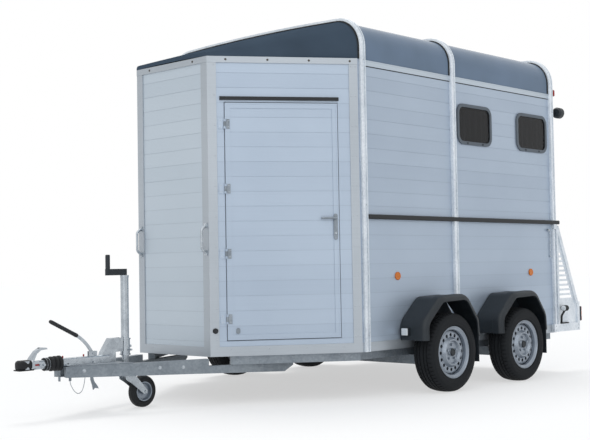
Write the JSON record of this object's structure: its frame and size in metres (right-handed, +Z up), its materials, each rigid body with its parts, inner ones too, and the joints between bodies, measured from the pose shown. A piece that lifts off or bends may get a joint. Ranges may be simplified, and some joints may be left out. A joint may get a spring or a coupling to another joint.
{
  "type": "horse trailer",
  "caption": "Tandem-axle aluminium horse trailer with a pointed tack room, domed roof on hoops, rear ramp, overrun coupling and jockey wheel.",
  "frame": {"origin": "on the ground, half way along the trailer's length, on its middle line", "axes": "+X forward to the coupling, +Y to the trailer's left, +Z up"},
  "size_m": [5.228, 2.548, 2.83],
  "materials": {
    "plank_wall": "anodised planks, fine horizontal lines",
    "trim_aluminium": "bright extruded profile",
    "rear_frame_aluminium": "satin extruded frame",
    "floor_board": "phenolic plywood under a rubber mat",
    "inner_panel": "pale wall board",
    "roof_skin": "dark glossy glass-reinforced plastic",
    "galvanised_steel": "hot-dip galvanised",
    "zinc_castings": "zinc-plated pressings and castings",
    "zinc_fittings": "bright zinc plating",
    "chrome_bar": "polished bar",
    "guard_plastic": "moulded black plastic, fine grain",
    "rub_rail_plastic": "extruded black plastic",
    "window_frame": "grey moulded frame",
    "window_glass": "tinted acrylic",
    "boot_rubber": "soft black rubber",
    "solid_rubber": "solid rubber",
    "tyre": "road tyre",
    "wheel_steel": "silver-painted steel",
    "ramp_board": "aluminium-skinned board",
    "cable_steel": "thin twisted steel cable",
    "lamp_red": "clear-skinned lamp lens",
    "reflector_orange": "moulded prism reflector"
  },
  "bodies": {
    "trailer": {"floor": "floor_board", "front_wall": "plank_wall", "left_front_wall": "plank_wall", "right_front_wall": "plank_wall", "left_side_wall": "plank_wall", "right_side_wall": "plank_wall", "window_frames": "window_frame", "window_panes": "window_glass", "window_bars": "galvanised_steel", "bulkhead": "inner_panel", "hoops": "galvanised_steel", "rear_roof": "roof_skin", "front_roof": "roof_skin", "rear_frame": "rear_frame_aluminium", "corner_posts": "trim_aluminium", "edge_trim": "trim_aluminium", "rub_rails": "rub_rail_plastic", "door_gutter": "rub_rail_plastic", "grab_handles": "chrome_bar", "mudguards": "guard_plastic", "axles": "galvanised_steel", "chassis_frame": "galvanised_steel", "drawbar": "galvanised_steel", "overrun_housing": "zinc_castings", "bellows": "boot_rubber", "coupling_head": "zinc_castings", "coupling_handle": "zinc_castings", "coupling_cap": "boot_rubber", "handbrake": "zinc_castings", "jockey_clamp": "zinc_castings", "jockey_tube": "zinc_fittings", "jockey_crank": "zinc_fittings", "side_guards": "galvanised_steel", "rear_lights": "lamp_red", "reflectors": "reflector_orange", "marker_lamps": "lamp_red", "work_lamp": "guard_plastic", "partition_brackets": "galvanised_steel", "door_holder": "rub_rail_plastic", "outline_lamps": "boot_rubber", "latch_rods": "zinc_fittings", "breakaway_cable": "cable_steel"},
    "tack_door": {"tack_door_leaf": "plank_wall", "tack_door_frame": "trim_aluminium", "tack_door_fittings": "zinc_fittings"},
    "rear_ramp": {"ramp": "ramp_board"},
    "upper_flap": {"rear_flap": "plank_wall"},
    "stall_gate": {"partition": "inner_panel"},
    "jockey_inner": {"jockey_leg": "zinc_fittings"},
    "jockey_caster": {"jockey_fork": "zinc_fittings"},
    "jockey_wheel": {"jockey_tyre": "solid_rubber", "jockey_rim": "wheel_steel"},
    "wheel_front_left": {"tyre_front_left": "tyre", "rim_front_left": "wheel_steel"},
    "wheel_front_right": {"tyre_front_right": "tyre", "rim_front_right": "wheel_steel"},
    "wheel_rear_left": {"tyre_rear_left": "tyre", "rim_rear_left": "wheel_steel"},
    "wheel_rear_right": {"tyre_rear_right": "tyre", "rim_rear_right": "wheel_steel"}
  },
  "joints": [
    {"name": "tack_door_hinge", "type": "hinge", "parent": "trailer", "child": "tack_door", "pos_m": [1.21401, 0.46899, 1.288], "axis": [0, 0, -1], "range_deg": [0, 170]},
    {"name": "ramp_hinge", "type": "hinge", "parent": "trailer", "child": "rear_ramp", "pos_m": [-2.2605, 0, 0.368], "axis": [0, -1, 0], "range_deg": [0, 104]},
    {"name": "upper_flap_hinge", "type": "hinge", "parent": "trailer", "child": "upper_flap", "pos_m": [-2.254, 0, 2.434], "axis": [0, 1, 0], "range_deg": [0, 100]},
    {"name": "stall_gate_hinge", "type": "hinge", "parent": "trailer", "child": "stall_gate", "pos_m": [-0.43, 0.95, 1.29], "axis": [0, 0, -1], "range_deg": [0, 64]},
    {"name": "jockey_slide", "type": "slide", "parent": "trailer", "child": "jockey_inner", "axis": [0, 0, 1], "range_m": [-0.08, 0.104]},
    {"name": "jockey_swivel", "type": "hinge", "parent": "jockey_inner", "child": "jockey_caster", "pos_m": [1.746, 0, 0.258], "axis": [0, 0, 1], "continuous": true},
    {"name": "jockey_wheel_spin", "type": "hinge", "parent": "jockey_caster", "child": "jockey_wheel", "pos_m": [1.601, 0, 0.11], "axis": [0, 1, 0], "continuous": true},
    {"name": "wheel_spin_front_left", "type": "hinge", "parent": "trailer", "child": "wheel_front_left", "pos_m": [-0.386, 1.163, 0.298], "axis": [0, 1, 0], "continuous": true},
    {"name": "wheel_spin_front_right", "type": "hinge", "parent": "trailer", "child": "wheel_front_right", "pos_m": [-0.386, -1.163, 0.298], "axis": [0, 1, 0], "continuous": true},
    {"name": "wheel_spin_rear_left", "type": "hinge", "parent": "trailer", "child": "wheel_rear_left", "pos_m": [-1.371, 1.163, 0.298], "axis": [0, 1, 0], "continuous": true},
    {"name": "wheel_spin_rear_right", "type": "hinge", "parent": "trailer", "child": "wheel_rear_right", "pos_m": [-1.371, -1.163, 0.298], "axis": [0, 1, 0], "continuous": true}
  ]
}
